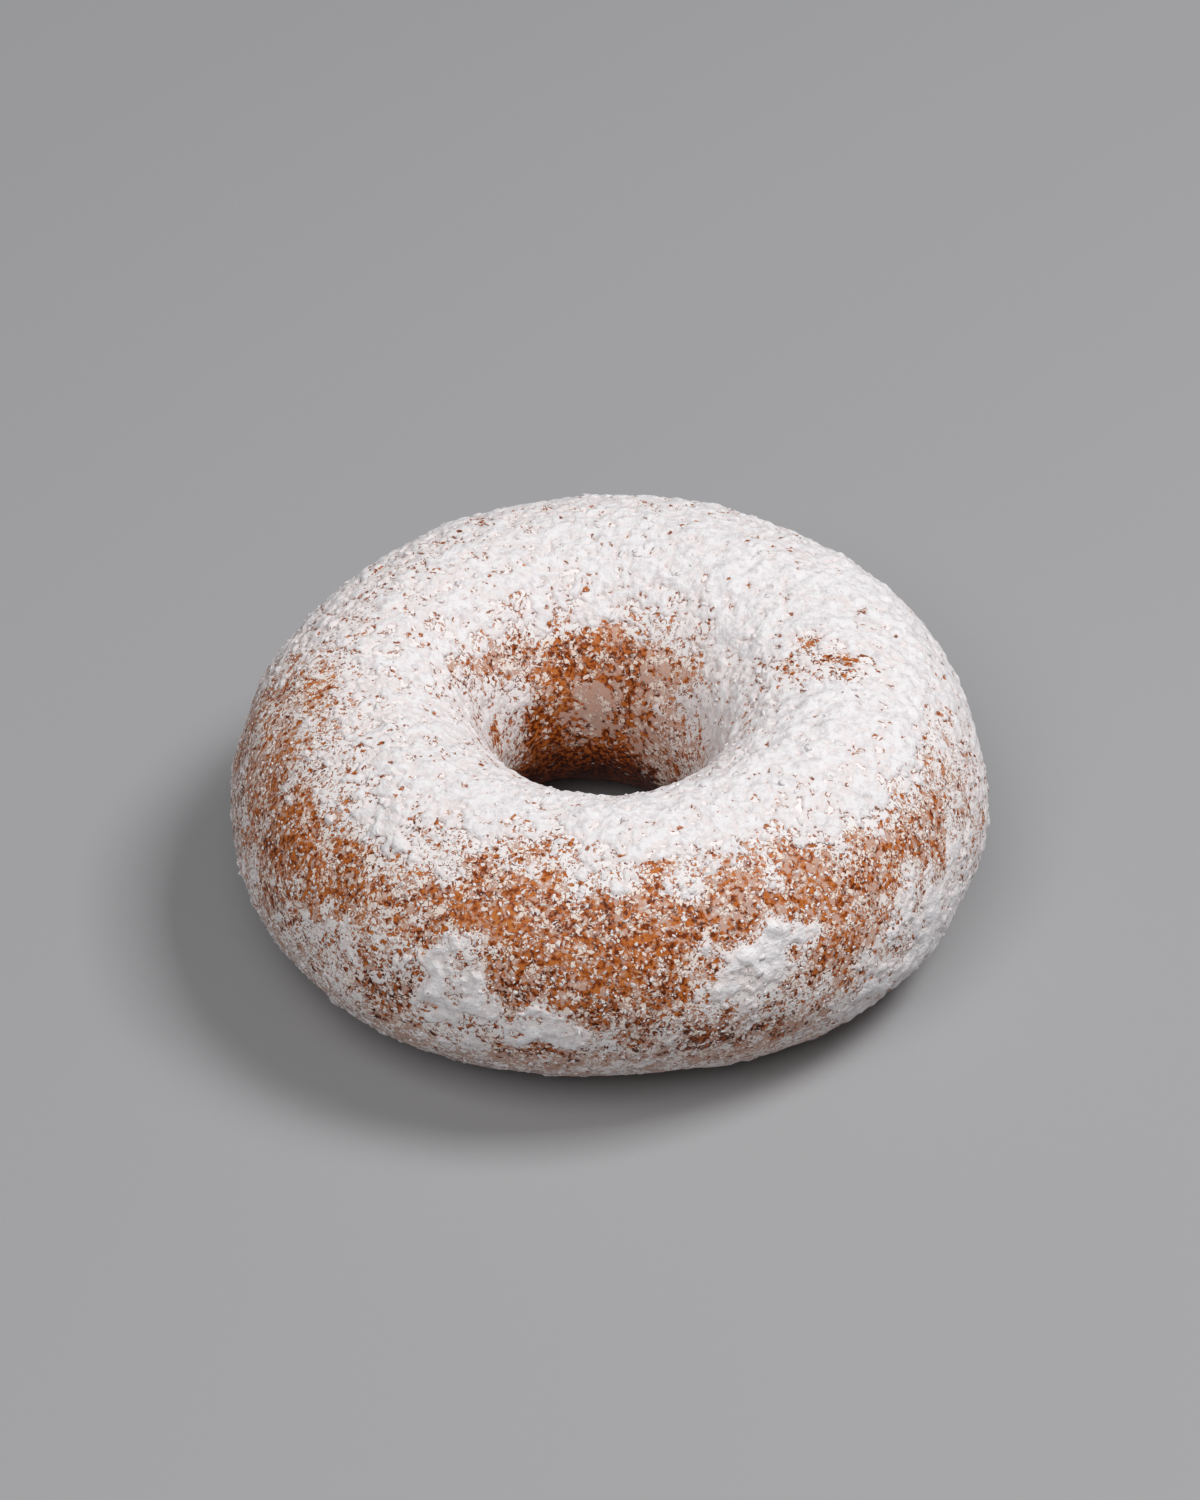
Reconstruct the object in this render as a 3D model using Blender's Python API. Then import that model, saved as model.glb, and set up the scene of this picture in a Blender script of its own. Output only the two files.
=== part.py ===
# A ring doughnut dusted with icing sugar: one closed solid that stands on its flattened underside.
# Units are metres, +Z is up, and the side at -Y is the front.
import math

import bpy
from mathutils import Vector, noise

# Driving dimensions
OUTER_RADIUS = 0.045
RIDGE_RADIUS = 0.027
HOLE_RADIUS = 0.0111
TOP_HEIGHT = 0.0175
BOTTOM_DEPTH = 0.016
FLATTENED_DEPTH = 0.0012

# How far the ring is from a true one
OVAL_SHARE = 0.025
OVAL_TURN = math.radians(61)
HOLE_SHIFT = Vector((-0.0011, -0.0014))
HOLE_OVAL = 0.001
HOLE_OVAL_TURN = math.radians(-25)

# Size and depth of the soft lumps of the dough, and of the crags of its crust
LUMP_SIZE = 0.013
LUMP_DEPTH = 0.0004
CRAG_SIZE = 0.0045
CRAG_DEPTH = 0.00022

# Mesh density, round the ring and round its section
ROUND_STEPS = 136
SECTION_STEPS = 44

# Places on the ring are two angles in degrees. The first goes round the ring from +X towards +Y.
# The second goes round the section: 0 at the outside, 90 on the crown, 180 in the hole, 270 underneath.
# Each place has its two angles, its reach in each of them, and its height above the plain ring.
SWELLINGS = {
    "front left tuck": (255, -50, 14, 35, -0.0007),
    "front right tuck": (279, -50, 13, 35, -0.0008),
    "right lower bulge": (325, -30, 18, 35, 0.0012),
    "right bulge": (350, -10, 10, 35, 0.0009),
    "far bulge": (78, 50, 16, 35, 0.0002),
    "front lip dip": (268, 135, 24, 24, -0.0008),
}
SUGAR_CAKES = {
    "front left": (248, 14, 7, 14, 0.0006),
    "front left foot": (262, 2, 8, 5, 0.0005),
    "front right": (289, 22, 7, 9, 0.0006),
    "front right foot": (300, 8, 5, 5, 0.0003),
    "far left": (226, 15, 5, 10, 0.0004),
    "right edge": (322, -6, 10, 7, 0.0004),
}

SUGAR_COLOUR = (0.86, 0.85, 0.86, 1.0)
SUGAR_ROUGHNESS = 0.8


def nearest_turn(angle):
    """The same angle between minus and plus half a turn."""
    return (angle + math.pi) % math.tau - math.pi


def rise_at(places, around, section):
    """The summed height of soft mounds at these places."""
    total = 0.0
    for centre_around, centre_section, reach_around, reach_section, height in places.values():
        off_around = nearest_turn(around - math.radians(centre_around)) / math.radians(reach_around)
        off_section = nearest_turn(section - math.radians(centre_section)) / math.radians(reach_section)
        total += height * math.exp(-0.5 * (off_around**2 + off_section**2))
    return total


def hole_radius_at(around):
    """The hole is off centre and a little oval."""
    shift = HOLE_SHIFT.x * math.cos(around) + HOLE_SHIFT.y * math.sin(around)
    return HOLE_RADIUS + shift + HOLE_OVAL * math.cos(2 * (around - HOLE_OVAL_TURN))


def ring_point(around, section):
    """A point of the uneven ring, before its underside is flattened."""
    across = math.cos(section)
    upward = math.sin(section)
    if across > 0:
        oval = 1 + OVAL_SHARE * math.cos(2 * (around - OVAL_TURN))
        radius = RIDGE_RADIUS + (OUTER_RADIUS * oval - RIDGE_RADIUS) * across
    else:
        radius = RIDGE_RADIUS + (RIDGE_RADIUS - hole_radius_at(around)) * across
    height = (TOP_HEIGHT if upward > 0 else BOTTOM_DEPTH) * upward

    place = Vector((radius * math.cos(around), radius * math.sin(around), height))
    rise = rise_at(SWELLINGS, around, section) + rise_at(SUGAR_CAKES, around, section)
    rise += LUMP_DEPTH * noise.noise(place / LUMP_SIZE)
    rise += CRAG_DEPTH * noise.noise(place / CRAG_SIZE)
    radius += rise * across
    height += rise * upward
    return Vector((radius * math.cos(around), radius * math.sin(around), height))


def stand_on_origin(mesh):
    """Put the middle of the solid's bounding box over the origin, with its lowest face at zero."""
    sides = [sorted(vertex.co[axis] for vertex in mesh.vertices) for axis in (0, 1)]
    middle = Vector(((side[0] + side[-1]) / 2 for side in sides)).to_3d()
    for vertex in mesh.vertices:
        vertex.co -= middle


def make_doughnut():
    """A torus whose points are moved out to the uneven ring, pressed flat underneath."""
    bpy.ops.mesh.primitive_torus_add(
        major_segments=ROUND_STEPS,
        minor_segments=SECTION_STEPS,
        major_radius=RIDGE_RADIUS,
        minor_radius=RIDGE_RADIUS - HOLE_RADIUS,
    )
    doughnut = bpy.context.object
    doughnut.name = "doughnut"
    for vertex in doughnut.data.vertices:
        around = math.atan2(vertex.co.y, vertex.co.x)
        section = math.atan2(vertex.co.z, vertex.co.to_2d().length - RIDGE_RADIUS)
        point = ring_point(around, section)
        point.z = max(point.z + BOTTOM_DEPTH - FLATTENED_DEPTH, 0.0)
        vertex.co = point
    stand_on_origin(doughnut.data)
    doughnut.data.shade_smooth()
    return doughnut


def sugar_dusted_crust():
    """Icing sugar over a fried crust, as one plain white finish."""
    material = bpy.data.materials.new("sugar_dusted_crust")
    material.use_nodes = True
    surface = material.node_tree.nodes["Principled BSDF"]
    surface.inputs["Base Color"].default_value = SUGAR_COLOUR
    surface.inputs["Roughness"].default_value = SUGAR_ROUGHNESS
    surface.inputs["Metallic"].default_value = 0.0
    return material


for leftover in list(bpy.data.objects):
    bpy.data.objects.remove(leftover, do_unlink=True)

make_doughnut().data.materials.append(sugar_dusted_crust())
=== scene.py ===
import math

import bmesh
import bpy
import numpy as np
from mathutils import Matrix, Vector, noise


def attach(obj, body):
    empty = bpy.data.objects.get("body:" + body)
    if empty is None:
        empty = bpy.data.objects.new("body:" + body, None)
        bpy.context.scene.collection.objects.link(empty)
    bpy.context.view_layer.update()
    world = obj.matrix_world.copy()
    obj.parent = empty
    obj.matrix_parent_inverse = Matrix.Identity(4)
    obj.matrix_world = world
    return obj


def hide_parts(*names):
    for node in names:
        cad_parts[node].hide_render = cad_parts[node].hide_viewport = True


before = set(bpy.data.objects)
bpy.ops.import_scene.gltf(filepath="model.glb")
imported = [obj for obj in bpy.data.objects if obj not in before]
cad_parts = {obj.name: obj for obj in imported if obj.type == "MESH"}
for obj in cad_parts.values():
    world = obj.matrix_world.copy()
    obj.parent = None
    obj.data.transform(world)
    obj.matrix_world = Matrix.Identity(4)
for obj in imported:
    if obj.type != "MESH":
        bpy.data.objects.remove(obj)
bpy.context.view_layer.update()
print("frame loaded")

mm = 0.001

# The ring itself. These values are the part's own, so that crust and sugar follow its solid.
ring = {
    "outerRadius": 45 * mm,
    "ridgeRadius": 27 * mm,
    "holeRadius": 11.1 * mm,
    "topHeight": 17.5 * mm,
    "bottomDepth": 16 * mm,
    "flattenedDepth": 1.2 * mm,
    "ovalShare": 0.025,
    "ovalTurn": 61,  # degrees, as all turns here are
    "holeShift": (-1.1 * mm, -1.4 * mm),
    "holeOval": 1 * mm,
    "holeOvalTurn": -25,
    "lumpSize": 13 * mm,  # soft lumps of the dough
    "lumpDepth": 0.4 * mm,
    "cragSize": 4.5 * mm,  # crags of its crust
    "cragDepth": 0.22 * mm,
    "boxSteps": 136,  # places round it, to find its box
    "boxSection": 8,  # and degrees between them round the section
}

# Places on the ring are two angles in degrees: round the ring from +X towards +Y, and round its
# section, 0 outside, 90 on the crown, 180 in the hole, 270 underneath. Reach is in both angles.
swellings = [
    {"at": (255, -50), "reach": (14, 35), "rise": -0.7 * mm},  # tucks under the front
    {"at": (279, -50), "reach": (13, 35), "rise": -0.8 * mm},
    {"at": (325, -30), "reach": (18, 35), "rise": 1.2 * mm},  # bulges on the right
    {"at": (350, -10), "reach": (10, 35), "rise": 0.9 * mm},
    {"at": (78, 50), "reach": (16, 35), "rise": 0.2 * mm},
    {"at": (268, 135), "reach": (24, 24), "rise": -0.8 * mm},  # dip in the lip of the hole
]

# Each pattern reads a stretch of the noise of its own, so that no two of them line up
noiseShift = {
    "blisters": 3.7,
    "grain": 5.1,
    "grainStep": 7,  # further on for each millimetre of a grain's size
    "pores": 8.2,
    "drift": 11.3,
    "patch": 23.9,
    "lumps": 31.7,
    "strayAround": 41.3,
    "straySection": 47.9,
}


def nearestTurn(angle):
    return (angle + math.pi) % math.tau - math.pi


# An angle round the section in degrees, from -90 under the rim to 270 under the hole
def asDegrees(section):
    return (np.degrees(section) + 90) % 360 - 90


# A value that is set at a few angles round the section, read between them
def alongSection(section, stops):
    return np.interp(asDegrees(section), list(stops), list(stops.values()))


# How much of a spot is felt here: 1 in its middle, fading out over its reach
def spotStrength(around, section, spot):
    offAround = nearestTurn(around - math.radians(spot["at"][0])) / math.radians(spot["reach"][0])
    offSection = nearestTurn(section - math.radians(spot["at"][1])) / math.radians(spot["reach"][1])
    return np.exp(-0.5 * (offAround**2 + offSection**2))


# Blender's own soft noise, read at every point of an array
def softNoise(points, size, shift=0.0):
    places = (points / size + shift).reshape(-1, 3).tolist()
    values = np.fromiter((noise.noise(place) for place in places), float, len(places))
    return values.reshape(points.shape[:-1])


def onRing(around, radius, height):
    return np.stack([radius * np.cos(around), radius * np.sin(around), height], axis=-1)


# The plain uneven ring: radius, height and the way out of the dough at each place
def plainRing(around, section):
    across, upward = np.cos(section), np.sin(section)
    oval = 1 + ring["ovalShare"] * np.cos(2 * (around - math.radians(ring["ovalTurn"])))
    outside = ring["outerRadius"] * oval
    shiftX, shiftY = ring["holeShift"]
    hole = ring["holeRadius"] + shiftX * np.cos(around) + shiftY * np.sin(around)
    hole = hole + ring["holeOval"] * np.cos(2 * (around - math.radians(ring["holeOvalTurn"])))
    width = np.where(across > 0, outside - ring["ridgeRadius"], ring["ridgeRadius"] - hole)
    radius = ring["ridgeRadius"] + width * across
    height = np.where(upward > 0, ring["topHeight"], ring["bottomDepth"]) * upward
    return radius, height, across, upward


# The ring's surface, standing proud of it by "proud" metres and pressed flat at "lowest"
def ringSurface(around, section, proud=0.0, lowest=0.0):
    radius, height, across, upward = plainRing(around, section)
    plain = onRing(around, radius, height)
    rise = sum(spot["rise"] * spotStrength(around, section, spot) for spot in swellings)
    rise = rise + ring["lumpDepth"] * softNoise(plain, ring["lumpSize"])
    rise = rise + ring["cragDepth"] * softNoise(plain, ring["cragSize"])
    rise = rise + proud
    points = onRing(around, radius + rise * across, height + rise * upward)
    points[..., 2] = np.maximum(points[..., 2] + ring["bottomDepth"] - ring["flattenedDepth"], lowest)
    return points - ringMiddle


# Both angles in radians over a grid: even steps round the ring, and these degrees round its section
def gridAngles(roundSteps, sections):
    turns = np.arange(roundSteps) * math.tau / roundSteps
    return np.meshgrid(turns, np.radians(sections))


# The part's solid is moved so that its box is centred; the same move is found here
ringMiddle = np.zeros(3)
boxPoints = ringSurface(*gridAngles(ring["boxSteps"], np.arange(0, 360, ring["boxSection"])))
boxMiddle = (boxPoints.max(axis=(0, 1)) + boxPoints.min(axis=(0, 1))) / 2
ringMiddle = boxMiddle * np.array([1, 1, 0])

# How well icing sugar covers the ring, from 0 bare to 1 closed
sugarCover = {
    "bySection": {-90: 0.2, -60: 0.3, -35: 0.22, -18: 0.31, 4: 0.36, 22: 0.49, 40: 0.67, 56: 0.82,
                  70: 0.69, 84: 0.92, 112: 0.87, 128: 0.7, 140: 0.7, 154: 0.71, 168: 0.4, 184: 0.36,
                  200: 0.3, 230: 0.15, 270: 0.2},
    "drift": 0.14,  # slow changes over the ring
    "driftSize": 6.5 * mm,
    "patch": 0.28,
    "patchSize": 2.4 * mm,
}

# Where sugar lies thicker or thinner than that. Film is a fine dust that only clouds the crust.
sugarSpots = [
    {"at": (255, 34), "reach": (33, 14), "cover": -1.17, "film": -0.3},  # the bare front
    {"at": (211, 40), "reach": (6.3, 14), "cover": -0.53, "film": -0.1},  # and left
    {"at": (184, 55), "reach": (13, 25), "cover": -0.59, "film": 0},
    {"at": (253, 58), "reach": (5.6, 7.9), "cover": -0.72, "film": 0},  # and higher up
    {"at": (276, 58), "reach": (7.8, 5.2), "cover": -0.45, "film": 0},
    {"at": (293, 48), "reach": (12, 8.5), "cover": -0.95, "film": 0},
    {"at": (308, 13), "reach": (4, 9), "cover": -0.45, "film": -0.1},  # and right
    {"at": (333, 34), "reach": (19, 14), "cover": -0.8, "film": -0.2},
    {"at": (273, 11), "reach": (1.8, 10), "cover": -0.35, "film": 0},  # gap between the cakes
    {"at": (246, 13), "reach": (3.3, 7.9), "cover": 0.97, "film": 0.3},  # cake on the front left
    {"at": (248, 29), "reach": (12, 7), "cover": 0.81, "film": 0.3},
    {"at": (260, 6), "reach": (7.5, 4), "cover": 0.82, "film": 0.2},  # and its foot
    {"at": (289, 34), "reach": (3.8, 12), "cover": 0.92, "film": 0.3},  # cake on the front right
    {"at": (296, 25), "reach": (3.4, 6), "cover": 0.9, "film": 0.3},
    {"at": (225, 21), "reach": (2.9, 4.9), "cover": 0.49, "film": 0.2},  # small cake on the far left
    {"at": (324, -11), "reach": (10, 11), "cover": 0.62, "film": 0.1},  # closed low on the right
    {"at": (10, 30), "reach": (42, 39), "cover": 0.36, "film": 0.5},  # clouded right rim
    {"at": (260, -9), "reach": (3.6, 7.7), "cover": -0.7, "film": -0.6},  # scars near the foot
    {"at": (290, -10), "reach": (9.1, 8.2), "cover": -0.49, "film": -0.6},
    {"at": (237, -5), "reach": (3.8, 5.4), "cover": -0.42, "film": -0.5},
    {"at": (1, 93), "reach": (3.9, 15), "cover": -0.62, "film": -0.6},  # specks on the crown
    {"at": (10, 102), "reach": (4.1, 9), "cover": -0.68, "film": -0.6},
    {"at": (256, 80), "reach": (5.9, 4.9), "cover": -0.71, "film": 0},
    {"at": (168, 126), "reach": (4.5, 2.8), "cover": -0.65, "film": 0},
    {"at": (150, 138), "reach": (14, 7), "cover": -0.71, "film": 0},
    {"at": (60, 147), "reach": (30, 10), "cover": -0.5, "film": 0.2},  # thinner on the hole's far wall
    {"at": (85, 170), "reach": (50, 20), "cover": -0.5, "film": 0.35},
    {"at": (100, 165), "reach": (6, 11), "cover": -0.1, "film": 0.45},  # clouded panel on it
    {"at": (104, 145), "reach": (11, 6.5), "cover": -0.92, "film": -1.3},  # bare places on it
    {"at": (116, 153), "reach": (3.5, 9), "cover": -0.7, "film": -1.3},
    {"at": (133, 171), "reach": (6, 8), "cover": -0.4, "film": -0.6},
    {"at": (168, 160), "reach": (4, 4), "cover": -0.6, "film": -0.8},
    {"at": (130, 153), "reach": (5, 5), "cover": -0.4, "film": -0.4},
    {"at": (75, 160), "reach": (4, 10), "cover": -0.3, "film": -0.8},
    {"at": (76, 146), "reach": (5, 4), "cover": -0.4, "film": -0.7},
    {"at": (80, 190), "reach": (9, 7), "cover": -0.4, "film": -1},
    {"at": (134, 188), "reach": (8, 8), "cover": -0.4, "film": -0.9},
    {"at": (102, 216), "reach": (30, 17), "cover": -1.4, "film": -2},  # and its bare foot
    {"at": (151, 154), "reach": (11, 13), "cover": 0.35, "film": 0.1},  # closed again on its sides
    {"at": (14, 151), "reach": (16, 13), "cover": 0.3, "film": 0.1},
    {"at": (236, 32), "reach": (6, 9), "cover": 0.28, "film": 0.1},  # a little more on the front left
    {"at": (150, 92), "reach": (22, 18), "cover": -0.2, "film": 0.3},  # thinner on the far left crown, and darker there as painted shade
    {"at": (72, 30), "reach": (24, 11), "cover": -0.7, "film": 0.1},  # bare and caked at the back
    {"at": (128, 16), "reach": (11, 10), "cover": -0.55, "film": 0},
    {"at": (101, 12), "reach": (8, 8), "cover": 0.75, "film": 0.3},
]

# The spots' outlines stray by these degrees in bends of this size, and by a smaller share in the hole
spotEdges = {"stray": (7, 16), "size": 3.2 * mm, "shareBySection": {110: 1, 140: 0.3}}

# What breaks the sugar into grains: size of each kind of grain, and its share
sugarBreakup = {
    "grains": [(1.5 * mm, 0.42), (0.85 * mm, 0.5), (0.46 * mm, 0.22)],
    "halfCover": 0.5,  # the cover that leaves half of a place bare
    "cakedFrom": 1,
    "cakedOver": 0.35,
    "cakedCalm": 0.65,  # thick cakes have less fine grain
}

# How high the sugar stands in millimetres, times a share for each angle round the section
sugarRelief = {
    "bySection": {-90: 0.6, -60: 0.8, -35: 0.9, -18: 1, 4: 1.1, 22: 1.2, 40: 1.3, 112: 1.3, 128: 1.1,
                  140: 0.8, 154: 0.5, 168: 0.4, 184: 0.35, 200: 0.35, 230: 0.4, 270: 0.6},
    "edge": 0.07,  # the step at its edge, and the amount that it takes to rise
    "edgeAmount": 0.08,
    "layer": 0.4,
    "peaksFrom": 0.4,  # more sugar than this is pressed flat
    "peaks": 0.12,
    "peaksOver": 0.7,  # this much more is its highest
    "heapsFrom": 0.95,  # with more cover than this it is caked
    "heaps": 0.8,
    "heapsOver": 0.5,
    "lumps": 1.2,  # how uneven all of it is
    "lumpSize": 1.7 * mm,
}


# The spots' summed cover or film. Their outlines stray a little, so that none is a plain oval.
def sumSpots(around, section, points, key):
    strayAround, straySection = np.radians(spotEdges["stray"])
    share, size = alongSection(section, spotEdges["shareBySection"]), spotEdges["size"]
    around = around + strayAround * share * softNoise(points, size, noiseShift["strayAround"])
    section = section + straySection * share * softNoise(points, size, noiseShift["straySection"])
    return sum(spot[key] * spotStrength(around, section, spot) for spot in sugarSpots)


# How well the sugar covers each place, before it breaks into grains
def coverAt(around, section, points):
    cover = alongSection(section, sugarCover["bySection"]) + sumSpots(around, section, points, "cover")
    cover = cover + sugarCover["drift"] * softNoise(points, sugarCover["driftSize"], noiseShift["drift"])
    return cover + sugarCover["patch"] * softNoise(points, sugarCover["patchSize"], noiseShift["patch"])


# How much sugar lies at each place. Below zero there is none, and above it the sugar stands up.
def sugarAmount(cover, points):
    grain = 0
    for size, share in sugarBreakup["grains"]:
        shift = noiseShift["grain"] + noiseShift["grainStep"] * size / mm
        grain = grain + share * softNoise(points, size, shift)
    caked = np.clip((cover - sugarBreakup["cakedFrom"]) / sugarBreakup["cakedOver"], 0, 1)
    return cover - sugarBreakup["halfCover"] + grain * (1 - sugarBreakup["cakedCalm"] * caked)


# Height above the crust, in metres. Where there is no sugar its skin sinks into the crust and is hidden.
def sugarHeight(cover, amount, section, points):
    edge = sugarRelief["edge"] * np.clip(amount / sugarRelief["edgeAmount"], -1, 1)
    layer = sugarRelief["layer"] * np.clip(amount, 0, sugarRelief["peaksFrom"])
    peaks = sugarRelief["peaks"] * np.clip(amount - sugarRelief["peaksFrom"], 0, sugarRelief["peaksOver"])
    heaps = sugarRelief["heaps"] * np.clip(cover - sugarRelief["heapsFrom"], 0, sugarRelief["heapsOver"])
    lumps = 1 + sugarRelief["lumps"] * softNoise(points, sugarRelief["lumpSize"], noiseShift["lumps"])
    relief = alongSection(section, sugarRelief["bySection"])
    return relief * mm * (edge + lumps * (layer + peaks + heaps))


def makePiece(name, points, faces, uv=None, faceted=False):
    mesh = bpy.data.meshes.new(name)
    mesh.from_pydata(points.reshape(-1, 3).tolist(), [], faces.tolist(), shade_flat=faceted)
    if uv is not None:
        mesh.uv_layers.new(name="OFBake").uv.foreach_set("vector", uv.astype(np.float32).ravel())
    piece = bpy.data.objects.new(name, mesh)
    bpy.context.scene.collection.objects.link(piece)
    return piece


# Values for each point of a piece, which its material reads by name
def keepValues(piece, name, values):
    attribute = piece.data.attributes.new(name, "FLOAT", "POINT")
    attribute.data.foreach_set("value", np.asarray(values, np.float32).ravel())


uvInset = 0.002  # keeps the strips of a band's UV map apart


# Closes a grid of points, rows by columns, into a band that meets itself both ways.
# Its UV map cuts the band into strips laid above each other, so that a bake is evenly sharp.
def closedBand(name, points, strips):
    rows, columns = points.shape[:2]
    row, column = np.meshgrid(np.arange(rows), np.arange(columns), indexing="ij")
    here, above = row * columns, (row + 1) % rows * columns
    nextColumn = (column + 1) % columns
    faces = np.stack([here + column, here + nextColumn, above + nextColumn, above + column], axis=-1)
    perStrip = columns // strips
    strip = column // perStrip
    left = (column % perStrip) / perStrip
    right = left + 1 / perStrip
    low, high = row / rows, (row + 1) / rows
    across = uvInset + (1 - 2 * uvInset) * np.stack([left, right, right, left], axis=-1)
    upward = uvInset + (1 - 2 * uvInset) * np.stack([low, low, high, high], axis=-1)
    uv = np.stack([across, (strip[..., None] + upward) / strips], axis=-1)
    return makePiece(name, points, faces.reshape(-1, 4), uv)


# Node helpers: a socket takes a plain value, or another node's output to link
def put(tree, kind, sockets=None, **settings):
    node = tree.nodes.new(kind)
    for name, value in settings.items():
        setattr(node, name, value)
    for name, value in (sockets or {}).items():
        if isinstance(value, bpy.types.NodeSocket):
            tree.links.new(value, node.inputs[name])
        else:
            node.inputs[name].default_value = value
    return node


def objectPlace(tree):
    return put(tree, "ShaderNodeTexCoord").outputs["Object"]


def noiseValue(tree, place, size, detail=2.0, roughness=0.5):
    sockets = {"Vector": place, "Scale": 1 / size, "Detail": detail, "Roughness": roughness}
    return put(tree, "ShaderNodeTexNoise", sockets).outputs["Fac"]


def remap(tree, value, low, high, toLow=0.0, toHigh=1.0):
    sockets = {"Value": value, "From Min": low, "From Max": high, "To Min": toLow, "To Max": toHigh}
    return put(tree, "ShaderNodeMapRange", sockets, interpolation_type="SMOOTHSTEP").outputs["Result"]


noiseRange = (0.3, 0.7)  # nearly all values of a noise texture lie in here


# Spreads a noise value by this much to either side of zero
def swing(tree, value, most):
    return remap(tree, value, *noiseRange, -most, most)


def mathNode(tree, operation, first, second):
    return put(tree, "ShaderNodeMath", {0: first, 1: second}, operation=operation).outputs[0]


def mixColour(tree, factor, first, second):
    return put(tree, "ShaderNodeMix", {0: factor, 6: first, 7: second}, data_type="RGBA").outputs[2]


def readValue(tree, name):
    return put(tree, "ShaderNodeAttribute", attribute_name=name).outputs["Fac"]


def startGroup(name, inputs, outputs):
    group = bpy.data.node_groups.new(name, "ShaderNodeTree")
    for label, start in inputs.items():
        socket = group.interface.new_socket(name=label, in_out="INPUT", socket_type="NodeSocketFloat")
        socket.default_value = start
    for label, kind in outputs.items():
        group.interface.new_socket(name=label, in_out="OUTPUT", socket_type=kind)
    return group, put(group, "NodeGroupInput").outputs, put(group, "NodeGroupOutput").inputs


browning = {
    "patchSize": 6 * mm,
    "patchShare": 0.14,
    "mottleSize": 0.5 * mm,
    "mottleEdge": (0.37, 0.63),
    "mottleShare": (-0.3, 0.32),
    "ends": ((0.6, 0.2, 0.045, 1), (0.035, 0.006, 0.002, 1)),  # where it floated, and fried longest
    "between": {0.38: (0.47, 0.118, 0.02, 1), 0.68: (0.19, 0.036, 0.006, 1)},
}


# Fried crust: golden to deep brown by how long it fried, and mottled all over
def browningGroup():
    group, given, result = startGroup("crustBrowning", {"Bake": 0.5}, {"Colour": "NodeSocketColor"})
    place = objectPlace(group)
    patches = noiseValue(group, place, browning["patchSize"], detail=3)
    patches = swing(group, patches, browning["patchShare"])
    mottle = noiseValue(group, place, browning["mottleSize"], detail=3, roughness=0.6)
    mottle = remap(group, mottle, *browning["mottleEdge"], *browning["mottleShare"])
    depth = mathNode(group, "ADD", given["Bake"], mathNode(group, "ADD", patches, mottle))
    ramp = put(group, "ShaderNodeValToRGB", {"Fac": depth})
    colours = ramp.color_ramp.elements
    colours[0].color, colours[1].color = browning["ends"]
    for position, colour in browning["between"].items():
        colours.new(position).color = colour
    group.links.new(ramp.outputs["Color"], result["Colour"])
    return group


# The cells of a Voronoi pattern: a chance for each cell, and how far a place is from the cell's edge
def cellsOf(tree, place, size):
    sockets = {"Vector": place, "Scale": 1 / size}
    colour = put(tree, "ShaderNodeTexVoronoi", sockets).outputs["Color"]
    chance = put(tree, "ShaderNodeSeparateColor", {"Color": colour}).outputs["Red"]
    gap = put(tree, "ShaderNodeTexVoronoi", sockets, feature="DISTANCE_TO_EDGE").outputs["Distance"]
    return chance, gap


dustLook = {
    "clusterSize": 1.8 * mm,  # it lies in clusters
    "clusterShare": 1.4,
    "bendSize": 0.7 * mm,  # its cells are bent, so that none is a plain polygon
    "bend": 1.3 * mm,
    "threadCell": 1.2 * mm,
    "threadWidth": (0.1, 0.36),  # the least, and what full cover adds
    "threadPower": 1.8,
    "threadEdge": (-0.03, 0.03),
    "haloEdge": (-0.1, 0.0),
    "raggedSize": 0.36 * mm,
    "raggedShare": 0.16,
    "firmSize": 1.1 * mm,
    "firmEdge": (0.3, 0.65),
    "scaleCell": 0.72 * mm,
    "scaleCover": (-0.8, 1.0),
    "scaleShare": 1.1,
    "scaleFade": 0.3,
    "scaleGap": (0.06, 0.14),
    "flakeCell": 1.4 * mm,
    "flakeShare": 0.5,
    "flakeGap": (0.1, 0.16),
}


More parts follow.
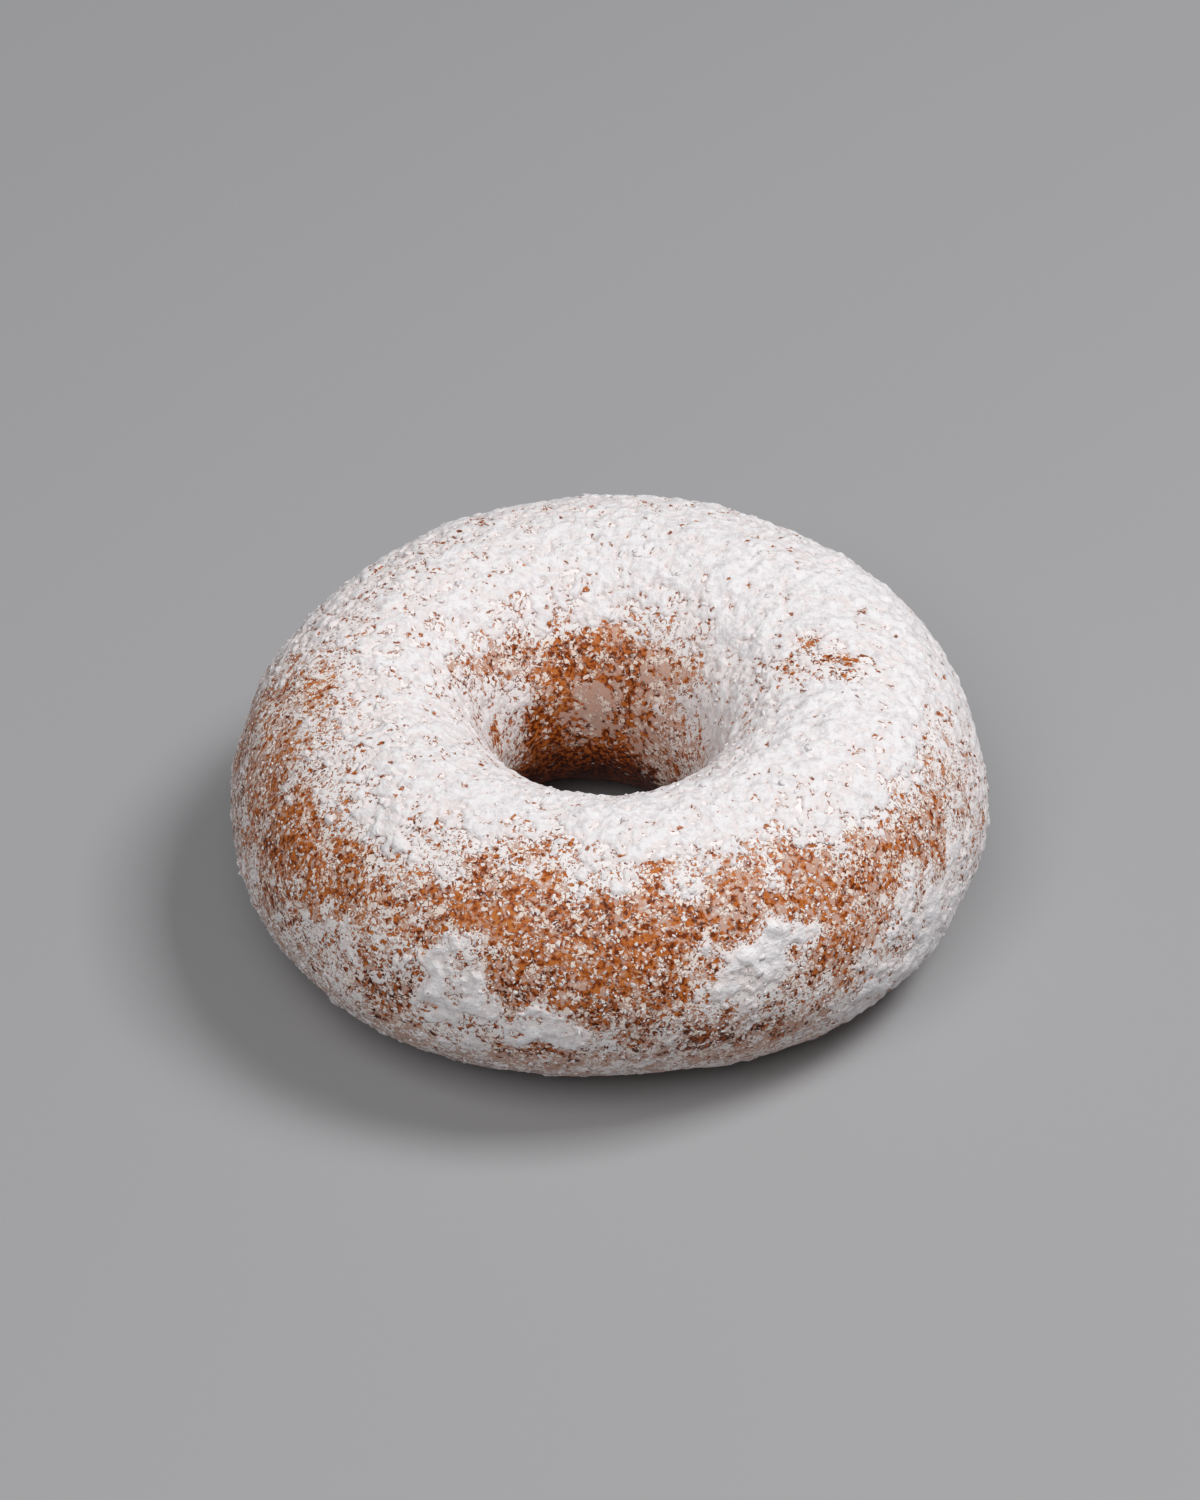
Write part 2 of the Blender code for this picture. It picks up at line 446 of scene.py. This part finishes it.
# Sugar dust that breaks up as "Cover" falls: nearly closed with small pits at 1, then flakes and
# threads with bare cracks between them, and a few scales about 0. "Fineness" makes all of it
# smaller. The halo also takes in the thin dust beside the threads.
def dustGroup():
    outputs = {"Mask": "NodeSocketFloat", "Halo": "NodeSocketFloat"}
    group, given, result = startGroup("sugarDust", {"Cover": 0.4, "Fineness": 1.0}, outputs)
    sockets = {0: objectPlace(group), "Scale": given["Fineness"]}
    place = put(group, "ShaderNodeVectorMath", sockets, operation="SCALE").outputs[0]
    clusters = noiseValue(group, place, dustLook["clusterSize"], detail=3)
    clusters = mathNode(group, "SUBTRACT", clusters, sum(noiseRange) / 2)
    clusters = mathNode(group, "MULTIPLY", clusters, dustLook["clusterShare"])
    cover = mathNode(group, "ADD", given["Cover"], clusters)
    sockets = {"Vector": place, "Scale": 1 / dustLook["bendSize"], "Detail": 2.0}
    bend = put(group, "ShaderNodeTexNoise", sockets).outputs["Color"]
    sockets = {0: bend, 1: (dustLook["bend"],) * 3, 2: place}
    bent = put(group, "ShaderNodeVectorMath", sockets, operation="MULTIPLY_ADD").outputs[0]

    # threads along the edges of cells, wider where there is more sugar
    edge = cellsOf(group, bent, dustLook["threadCell"])[1]
    ragged = noiseValue(group, place, dustLook["raggedSize"], detail=1)
    ragged = mathNode(group, "MULTIPLY", ragged, dustLook["raggedShare"])
    least, added = dustLook["threadWidth"]
    width = mathNode(group, "POWER", mathNode(group, "MAXIMUM", cover, 0.0), dustLook["threadPower"])
    width = mathNode(group, "ADD", mathNode(group, "MULTIPLY", width, added), least)
    inside = mathNode(group, "SUBTRACT", width, mathNode(group, "ADD", edge, ragged))
    firm = mathNode(group, "ADD", noiseValue(group, place, dustLook["firmSize"]), cover)
    firm = remap(group, firm, *dustLook["firmEdge"])
    threads = mathNode(group, "MULTIPLY", remap(group, inside, *dustLook["threadEdge"]), firm)
    beside = mathNode(group, "MULTIPLY", remap(group, inside, *dustLook["haloEdge"]), firm)

    # scales, more of them and less translucent where there is more sugar
    chance, gap = cellsOf(group, bent, dustLook["scaleCell"])
    share = remap(group, cover, *dustLook["scaleCover"], 0.0, dustLook["scaleShare"])
    scales = remap(group, mathNode(group, "SUBTRACT", share, chance), 0.0, dustLook["scaleFade"])
    scales = mathNode(group, "MULTIPLY", scales, remap(group, gap, *dustLook["scaleGap"]))

    # and a few broad flakes
    chance, gap = cellsOf(group, bent, dustLook["flakeCell"])
    share = remap(group, cover, 0.0, 1.0, 0.0, dustLook["flakeShare"])
    kept = mathNode(group, "LESS_THAN", chance, share)
    flakes = mathNode(group, "MULTIPLY", kept, remap(group, gap, *dustLook["flakeGap"]))
    flakes = mathNode(group, "MAXIMUM", flakes, scales)

    group.links.new(mathNode(group, "MAXIMUM", threads, flakes), result["Mask"])
    group.links.new(mathNode(group, "MAXIMUM", beside, flakes), result["Halo"])
    return group


grainLook = {"size": 0.3 * mm, "detail": 3.0, "roughness": 0.65, "cellShare": 0.35}


# The powder's own grain: uneven lumps, highest in the middle of each cell
def grainGroup():
    inputs, outputs = {"Size": grainLook["size"]}, {"Height": "NodeSocketFloat"}
    group, given, result = startGroup("sugarGrain", inputs, outputs)
    sockets = {"Vector": objectPlace(group), "Scale": mathNode(group, "DIVIDE", 1.0, given["Size"])}
    cells = put(group, "ShaderNodeTexVoronoi", sockets).outputs["Distance"]
    cells = mathNode(group, "MULTIPLY", cells, grainLook["cellShare"])
    sockets = {**sockets, "Detail": grainLook["detail"], "Roughness": grainLook["roughness"]}
    lumps = put(group, "ShaderNodeTexNoise", sockets).outputs["Fac"]
    group.links.new(mathNode(group, "SUBTRACT", lumps, cells), result["Height"])
    return group


groups = {"browning": browningGroup(), "dust": dustGroup(), "grain": grainGroup()}
print("shared effects ready")


def placeGroup(tree, name, sockets):
    return put(tree, "ShaderNodeGroup", sockets, node_tree=groups[name]).outputs


def startMaterial(name):
    material = bpy.data.materials.new(name)
    material.use_nodes = True
    return material, material.node_tree.nodes["Principled BSDF"]


crustLook = {
    "film": (0.64, 0.42, 0.34, 1),
    "filmShare": 0.85,
    "filmEdge": (0.35, 0.65),
    "speckSize": 0.95 * mm,  # the film's outline is specked
    "speckShare": 0.5,
    # painted shade: a darker mauve film where the film runs highest, mostly round the lower rim
    "paintedShadeFilm": (0.47, 0.385, 0.37, 1),
    "paintedShadeFilmEdge": (1.15, 1.6),
    "streakSize": 1.1 * mm,
    "streakShare": 0.4,
    "haloShare": 0.45,
    "thinDust": (0.9, 0.76, 0.67, 1),
    "dust": (0.88, 0.84, 0.83, 1),
    "dustCover": 0.45,  # the cover from which it is no longer thin
    "dustFineness": 1.2,
    "roughness": (0.45, 0.8),  # of the bare crust, and of its dust
    "shine": 0.12,
    "grainSize": 0.45 * mm,
    "grainShare": 0.5,
    "bump": 0.8,
    "bumpDepth": 0.08 * mm,
}


def crustMaterial():
    material, surface = startMaterial("friedCrust")
    tree = material.node_tree
    place = objectPlace(tree)
    brown = placeGroup(tree, "browning", {"Bake": readValue(tree, "bake")})["Colour"]
    cover = readValue(tree, "cover")
    dust = placeGroup(tree, "dust", {"Cover": cover, "Fineness": crustLook["dustFineness"]})
    whiter = remap(tree, cover, 0.0, crustLook["dustCover"])
    powder = mixColour(tree, whiter, crustLook["thinDust"], crustLook["dust"])

    # the film that clouds the crust, and the thin dust beside the flakes
    film = readValue(tree, "film")
    specks = noiseValue(tree, place, crustLook["speckSize"], detail=2.5)
    specked = mathNode(tree, "ADD", film, swing(tree, specks, crustLook["speckShare"]))
    clouded = remap(tree, specked, *crustLook["filmEdge"], 0.0, crustLook["filmShare"])
    halo = mathNode(tree, "MULTIPLY", dust["Halo"], crustLook["haloShare"])
    clouded = mathNode(tree, "MAXIMUM", clouded, halo)
    # where the film runs high it turns in streaks to that darker film, which is painted shade
    streaks = noiseValue(tree, place, crustLook["streakSize"], detail=3, roughness=0.6)
    streaked = mathNode(tree, "ADD", film, swing(tree, streaks, crustLook["streakShare"]))
    paintedShadeShare = remap(tree, streaked, *crustLook["paintedShadeFilmEdge"])
    filmWithPaintedShade = mixColour(tree, paintedShadeShare, crustLook["film"], crustLook["paintedShadeFilm"])
    filmed = mixColour(tree, clouded, brown, filmWithPaintedShade)
    tree.links.new(mixColour(tree, dust["Mask"], filmed, powder), surface.inputs["Base Color"])

    dulled = mathNode(tree, "MAXIMUM", dust["Mask"], clouded)
    tree.links.new(remap(tree, dulled, 0.0, 1.0, *crustLook["roughness"]), surface.inputs["Roughness"])
    surface.inputs["Specular IOR Level"].default_value = crustLook["shine"]
    grain = placeGroup(tree, "grain", {"Size": crustLook["grainSize"]})["Height"]
    height = mathNode(tree, "ADD", mathNode(tree, "MULTIPLY", grain, crustLook["grainShare"]), dust["Mask"])
    sockets = {"Height": height, "Strength": crustLook["bump"], "Distance": crustLook["bumpDepth"]}
    tree.links.new(put(tree, "ShaderNodeBump", sockets).outputs["Normal"], surface.inputs["Normal"])
    return material


sugarLook = {
    "white": (0.9, 0.875, 0.885, 1),
    "paintedShade": (0.72, 0.675, 0.685, 1),  # painted shade between the lumps of its powder
    "powderSize": 1 * mm,
    "powderEdge": (0.33, 0.54),
    "thin": (0.84, 0.765, 0.755, 1),
    "thinEdge": (0.05, 0.5),
    "closedAmount": 0.34,
    "coverRange": (0.45, 1.2),  # of its dust, from the sugar's edge to where it is closed
    "bake": 0.44,  # of the crust that shows through its pits
    "pitFilm": 0.7,
    "pitDepth": 0.8,
    "pitClusterSize": 4.5 * mm,
    "pitClusterEdge": (0.35, 0.65),
    "pitClusterShare": (-0.12, 0.32),
    "roughness": 0.82,
    "grainSize": 0.4 * mm,
    "bump": 0.9,
    "bumpDepth": 0.18 * mm,
}


def sugarMaterial():
    material, surface = startMaterial("icingSugar")
    tree = material.node_tree
    place = objectPlace(tree)
    amount = readValue(tree, "sugarAmount")

    # the crust and its film show through pits, which lie in clusters
    cover = remap(tree, amount, 0.0, sugarLook["closedAmount"], *sugarLook["coverRange"])
    clusters = noiseValue(tree, place, sugarLook["pitClusterSize"])
    clusters = remap(tree, clusters, *sugarLook["pitClusterEdge"], *sugarLook["pitClusterShare"])
    dust = placeGroup(tree, "dust", {"Cover": mathNode(tree, "ADD", cover, clusters)})
    brown = placeGroup(tree, "browning", {"Bake": sugarLook["bake"]})["Colour"]
    filmShare = mathNode(tree, "MULTIPLY", dust["Halo"], sugarLook["pitFilm"])
    filmed = mixColour(tree, filmShare, brown, crustLook["film"])

    # painted shade: the powder is darker where this noise is low, between its lumps
    lumps = noiseValue(tree, place, sugarLook["powderSize"], detail=4, roughness=0.65)
    lumps = remap(tree, lumps, *sugarLook["powderEdge"])
    powder = mixColour(tree, lumps, sugarLook["paintedShade"], sugarLook["white"])
    powder = mixColour(tree, remap(tree, amount, *sugarLook["thinEdge"]), sugarLook["thin"], powder)
    tree.links.new(mixColour(tree, dust["Mask"], filmed, powder), surface.inputs["Base Color"])

    surface.inputs["Roughness"].default_value = sugarLook["roughness"]
    grain = placeGroup(tree, "grain", {"Size": sugarLook["grainSize"]})["Height"]
    height = mathNode(tree, "ADD", grain, mathNode(tree, "MULTIPLY", dust["Mask"], sugarLook["pitDepth"]))
    sockets = {"Height": height, "Strength": sugarLook["bump"], "Distance": sugarLook["bumpDepth"]}
    tree.links.new(put(tree, "ShaderNodeBump", sockets).outputs["Normal"], surface.inputs["Normal"])
    return material


materials = {"crust": crustMaterial(), "sugar": sugarMaterial()}
print("materials ready")

# The crust is one skin over the whole ring, with blisters and pores
crust = {
    "roundSteps": 400,
    "sectionSteps": 120,
    "lowest": 0.12 * mm,  # the ring rests on the sugar under it
    "blisterSize": 2.2 * mm,
    "blisterDepth": 0.07 * mm,
    "poreSize": 0.8 * mm,
    "poreDepth": 0.04 * mm,
    "film": 0.3,  # a little of it everywhere
    "rimFilmAndShade": 1.0,  # the lower rim is clouded all round, and so darkened there with painted shade
    "rimFilmAt": -30,
    "rimFilmReach": 16,
    "filmRange": (-0.3, 1.5),
    "leastCover": {165: -0.05, 195: -0.6},  # deep in the hole even the barest dust is gone
    "bake": {-90: 0.65, -40: 0.8, -15: 0.72, 10: 0.55, 35: 0.42, 60: 0.4, 120: 0.42, 140: 0.46,
             170: 0.49, 190: 0.66, 205: 0.88, 235: 0.78, 270: 0.65},  # how deeply it is fried, with painted shade in the deeper values round the lower rim (-40 to -15) and painted light in the lighter ones on the hole's wall (140 to 190)
}


def crustRelief(points):
    blisters = crust["blisterDepth"] * softNoise(points, crust["blisterSize"], noiseShift["blisters"])
    return blisters + crust["poreDepth"] * softNoise(points, crust["poreSize"], noiseShift["pores"])


def makeCrust():
    sections = np.arange(crust["sectionSteps"]) * 360 / crust["sectionSteps"]
    around, section = gridAngles(crust["roundSteps"], sections)
    base = ringSurface(around, section)
    points = ringSurface(around, section, crustRelief(base), crust["lowest"])
    piece = closedBand("crust", points, 1)
    offRim = (asDegrees(section) - crust["rimFilmAt"]) / crust["rimFilmReach"]
    film = crust["film"] + sumSpots(around, section, base, "film")
    film = film + crust["rimFilmAndShade"] * np.exp(-0.5 * offRim**2)
    keepValues(piece, "film", np.clip(film, *crust["filmRange"]))
    leastCover = alongSection(section, crust["leastCover"])
    keepValues(piece, "cover", np.clip(coverAt(around, section, base), leastCover, 1))
    keepValues(piece, "bake", alongSection(section, crust["bake"]))
    piece.data.materials.append(materials["crust"])
    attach(piece, "root")
    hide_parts("doughnut")


# The sugar coat comes in bands round the ring, each a closed skin whose inner side hides in the dough
sugarBands = {
    "sugarFlank": {"from": -35, "to": 30, "roundSteps": 1080, "sectionSteps": 82, "strips": 4},
    "sugarShoulder": {"from": 30, "to": 85, "roundSteps": 1080, "sectionSteps": 80, "strips": 4},
    "sugarCrown": {"from": 85, "to": 140, "roundSteps": 840, "sectionSteps": 82, "strips": 3},
    "sugarHole": {"from": 140, "to": 235, "roundSteps": 380, "sectionSteps": 120, "strips": 2},
    "sugarUnderside": {"from": 235, "to": 325, "roundSteps": 440, "sectionSteps": 60, "strips": 2},
}

# How far a band laps over the next in degrees, dips at its ends, and how deep its inner side lies
bandEdge = {"overlap": 0.8, "tuck": 0.12 * mm, "skinDepth": 0.7 * mm, "skinSteps": 7}


def makeSugarBand(name, band):
    start, end = band["from"], band["to"]
    sections = np.linspace(start, end, band["sectionSteps"])
    sections = np.concatenate([[start - bandEdge["overlap"]], sections, [end + bandEdge["overlap"]]])
    around, section = gridAngles(band["roundSteps"], sections)
    base = ringSurface(around, section)
    cover = coverAt(around, section, base)
    amount = sugarAmount(cover, base)
    height = sugarHeight(cover, amount, section, base)
    proud = crustRelief(base) + height
    proud[[0, -1]] -= bandEdge["tuck"]
    outside = ringSurface(around, section, proud)
    skinSections = np.linspace(sections[-1], sections[0], bandEdge["skinSteps"])
    around, section = gridAngles(band["roundSteps"], skinSections)
    inside = ringSurface(around, section, -bandEdge["skinDepth"], crust["lowest"])
    piece = closedBand(name, np.concatenate([outside, inside]), band["strips"])
    keepValues(piece, "sugarAmount", np.concatenate([amount, np.zeros(inside.shape[:2])]))
    piece.data.materials.append(materials["sugar"])
    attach(piece, "root")


makeCrust()
print("crust made")
for bandName, band in sugarBands.items():
    makeSugarBand(bandName, band)
    print("made", bandName)


# Loose sugar: flakes on the bare crust, and crumbs along the caked patches. Sizes are in millimetres.
looseSugar = {
    "sugarFlakes": {"count": 5200, "seed": 4, "size": (0.08, 0.26), "roundness": 1, "faceted": True,
                    "covers": (-0.7, 0.66), "sections": (-30, 75)},
    "sugarCrumbs": {"count": 400, "seed": 9, "size": (0.2, 0.45), "roundness": 2, "faceted": False,
                    "covers": (0.5, 1.1), "sections": (-40, 150)},
}

# Both kinds are flattened balls with uneven corners, scattered at random where the cover suits them
looseForm = {
    "tries": 8,  # for each that is kept
    "lean": 0.25,  # how much they tilt at random
    "sides": ((0.9, 1.8), (0.6, 1.1), (0.25, 0.55)),  # how long, broad and thick for its size
    "rough": (0.6, 1.25),  # how far out each corner lies
}


def grainShape(roundness):
    shape = bmesh.new()
    bmesh.ops.create_icosphere(shape, subdivisions=roundness, radius=1)
    corners = np.array([vertex.co for vertex in shape.verts])
    faces = np.array([[vertex.index for vertex in face.verts] for face in shape.faces])
    shape.free()
    return corners, faces


def asUnit(directions):
    return directions / np.linalg.norm(directions, axis=-1, keepdims=True)


def makeLooseSugar(name, kind):
    chance = np.random.RandomState(kind["seed"])
    tries = kind["count"] * looseForm["tries"]
    around = chance.uniform(0, math.tau, tries)
    section = np.radians(chance.uniform(*kind["sections"], tries))
    base = ringSurface(around, section)
    cover = coverAt(around, section, base)
    least, most = kind["covers"]
    chosen = np.flatnonzero((cover > least) & (cover < most))[: kind["count"]]
    around, section, base, cover = around[chosen], section[chosen], base[chosen], cover[chosen]

    # each sits on the sugar there, or on the crust where there is none, and leans a little
    standing = np.maximum(sugarHeight(cover, sugarAmount(cover, base), section, base), 0)
    middle = ringSurface(around, section, crustRelief(base) + standing)
    outward = onRing(around, np.cos(section), np.sin(section))
    outward = asUnit(outward + chance.normal(0, looseForm["lean"], outward.shape))
    along = asUnit(np.cross(outward, chance.normal(0, 1, outward.shape)))
    sideways = np.cross(outward, along)

    corners, faces = grainShape(kind["roundness"])
    number = len(chosen)
    size = chance.uniform(*kind["size"], number)[:, None] * mm
    stretch = np.stack([chance.uniform(*side, number) for side in looseForm["sides"]], axis=-1)
    rough = chance.uniform(*looseForm["rough"], (number, len(corners), 1))
    local = corners[None] * rough * (size * stretch)[:, None]
    points = middle[:, None] + local[..., :1] * along[:, None] + local[..., 1:2] * sideways[:, None]
    points = points + local[..., 2:] * outward[:, None]
    faces = (faces[None] + np.arange(number)[:, None, None] * len(corners)).reshape(-1, 3)
    piece = makePiece(name, points, faces, faceted=kind["faceted"])
    keepValues(piece, "sugarAmount", np.full(points.shape[:2], sugarLook["closedAmount"]))
    piece.data.materials.append(materials["sugar"])
    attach(piece, "root")


for looseName, kind in looseSugar.items():
    makeLooseSugar(looseName, kind)
    print("scattered", looseName)

# The stage: a plain pale floor, soft studio light and the camera
stage = {
    "floorSide": 8.0,
    "floorColour": (0.37, 0.37, 0.38, 1),
    "floorRoughness": 0.75,
    "skyColour": (0.98, 0.98, 1.0, 1),
    "skyStrength": 0.1,
    "lights": {
        "keyLight": {"at": (0.58, 0.08, 0.98), "power": 8.2, "side": 0.4},
        "fillLight": {"at": (-0.25, -0.6, 1.0), "power": 6.6, "side": 0.8},
    },
}

view = {
    "elevation": 40,  # degrees above the floor
    "distance": 0.63,  # metres
    "lens": 126.5,  # millimetres, as the sensor's width
    "sensor": 36,
    "photoSize": (1200, 1500),
    "ringMiddleInPhoto": (610, 783),
}


# Turns a lamp or a camera, which look along their own -Z, to look back along this direction
def lookingBack(direction):
    return (-direction).to_track_quat("-Z", "Y").to_euler()


def makeFloor():
    bpy.ops.mesh.primitive_plane_add(size=stage["floorSide"])
    floor = bpy.context.object
    floor.name = "floor"
    material, surface = startMaterial("paleFloor")
    surface.inputs["Base Color"].default_value = stage["floorColour"]
    surface.inputs["Roughness"].default_value = stage["floorRoughness"]
    floor.data.materials.append(material)


def makeSky():
    world = bpy.data.worlds.new("studio")
    world.use_nodes = True
    background = world.node_tree.nodes["Background"]
    background.inputs["Color"].default_value = stage["skyColour"]
    background.inputs["Strength"].default_value = stage["skyStrength"]
    bpy.context.scene.world = world


def makeLight(name, settings):
    lamp = bpy.data.lights.new(name, "AREA")
    lamp.energy = settings["power"]
    lamp.size = settings["side"]
    light = bpy.data.objects.new(name, lamp)
    light.location = settings["at"]
    light.rotation_euler = lookingBack(Vector(settings["at"]))
    bpy.context.scene.collection.objects.link(light)


def makeCamera():
    elevation = math.radians(view["elevation"])
    middle = Vector((0, 0, ring["bottomDepth"] - ring["flattenedDepth"]))
    away = Vector((0, -math.cos(elevation), math.sin(elevation)))
    camera = bpy.data.objects.new("camera", bpy.data.cameras.new("camera"))
    camera.data.lens = view["lens"]
    camera.data.sensor_width = view["sensor"]
    camera.location = middle + away * view["distance"]
    camera.rotation_euler = lookingBack(away)
    width, tall = view["photoSize"]
    acrossPhoto, downPhoto = view["ringMiddleInPhoto"]
    camera.data.shift_x = -(acrossPhoto - width / 2) / tall
    camera.data.shift_y = (downPhoto - tall / 2) / tall
    bpy.context.scene.collection.objects.link(camera)
    bpy.context.scene.camera = camera


makeFloor()
makeSky()
for lightName, settings in stage["lights"].items():
    makeLight(lightName, settings)
makeCamera()
bpy.context.scene.view_settings.view_transform = "Standard"
print("stage set")
